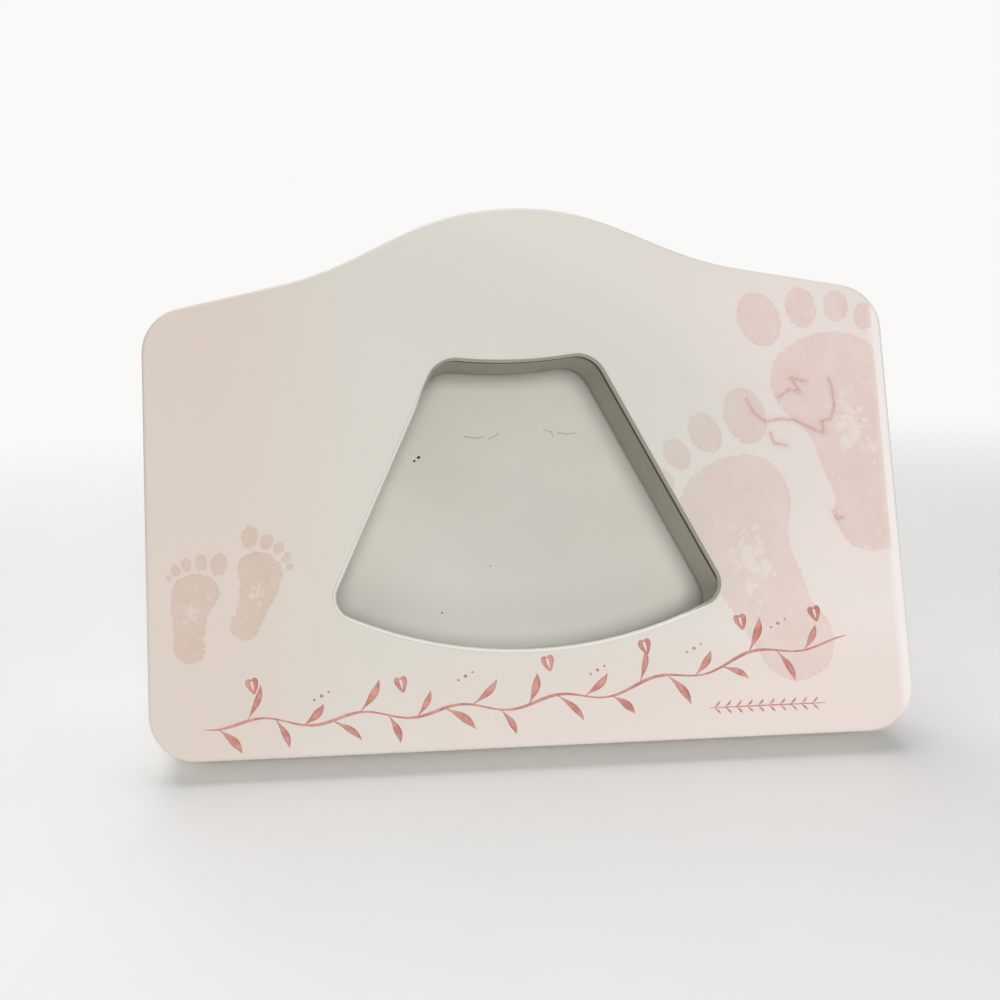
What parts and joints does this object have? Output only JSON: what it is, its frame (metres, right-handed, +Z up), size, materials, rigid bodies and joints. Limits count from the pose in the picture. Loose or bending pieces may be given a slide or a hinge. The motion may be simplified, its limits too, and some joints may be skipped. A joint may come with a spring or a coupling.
{
  "type": "ultrasound photo frame",
  "caption": "Free-standing photo frame with a bell-shaped crown, a deep sector-shaped opening for an ultrasound print, turn-button backing and a folding easel leg.",
  "frame": {"origin": "on the surface it stands on, under the middle of its bounding box, with the easel leg open", "axes": "+Z up, +X to the right seen from the front, the printed face towards -Y and leaning back 16 degrees"},
  "size_m": [0.203, 0.0626, 0.1463],
  "materials": {
    "face_print": "matt ivory print with soft pink sides, on thin fibreboard",
    "body_paint": "matt grey-cream paint on fibreboard",
    "clear_sheet": "clear",
    "grey_card": "matt grey-white",
    "hardboard": "smooth brown hardboard",
    "hinge_steel": "bright plated",
    "rivet_steel": "bright plated",
    "button_steel": "dull zinc plate",
    "screw_steel": "bright plated"
  },
  "bodies": {
    "panel": {"face_panel": "face_print", "body_frame": "body_paint", "glazing_sheet": "clear_sheet", "insert_card": "grey_card", "backing_board": "hardboard", "hinge_fixed_leaf": "hinge_steel", "hinge_pin": "hinge_steel", "backing_rivet_left": "rivet_steel", "backing_rivet_right": "rivet_steel", "button_screw_lower_left": "screw_steel", "button_screw_lower_right": "screw_steel", "button_screw_upper_left": "screw_steel", "button_screw_upper_right": "screw_steel"},
    "easel": {"easel_leg": "hardboard", "hinge_leg_leaf": "hinge_steel", "leg_rivet_left": "rivet_steel", "leg_rivet_right": "rivet_steel"},
    "turn_button_lower_left": {"turn_button_lower_left": "button_steel"},
    "turn_button_lower_right": {"turn_button_lower_right": "button_steel"},
    "turn_button_upper_left": {"turn_button_upper_left": "button_steel"},
    "turn_button_upper_right": {"turn_button_upper_right": "button_steel"}
  },
  "joints": [
    {"name": "easel_fold", "type": "hinge", "parent": "panel", "child": "easel", "pos_m": [0, 0.01441, 0.07605], "axis": [-1, 0, 0], "range_deg": [0, 28]},
    {"name": "turn_button_lower_left_spin", "type": "hinge", "parent": "panel", "child": "turn_button_lower_left", "pos_m": [-0.0708, 0.00033, 0.03458], "axis": [0, 0.9613, -0.2756], "continuous": true},
    {"name": "turn_button_lower_right_spin", "type": "hinge", "parent": "panel", "child": "turn_button_lower_right", "pos_m": [0.0708, 0.00033, 0.03458], "axis": [0, 0.9613, -0.2756], "continuous": true},
    {"name": "turn_button_upper_left_spin", "type": "hinge", "parent": "panel", "child": "turn_button_upper_left", "pos_m": [-0.0708, 0.01576, 0.08841], "axis": [0, 0.9613, -0.2756], "continuous": true},
    {"name": "turn_button_upper_right_spin", "type": "hinge", "parent": "panel", "child": "turn_button_upper_right", "pos_m": [0.0708, 0.01576, 0.08841], "axis": [0, 0.9613, -0.2756], "continuous": true}
  ]
}
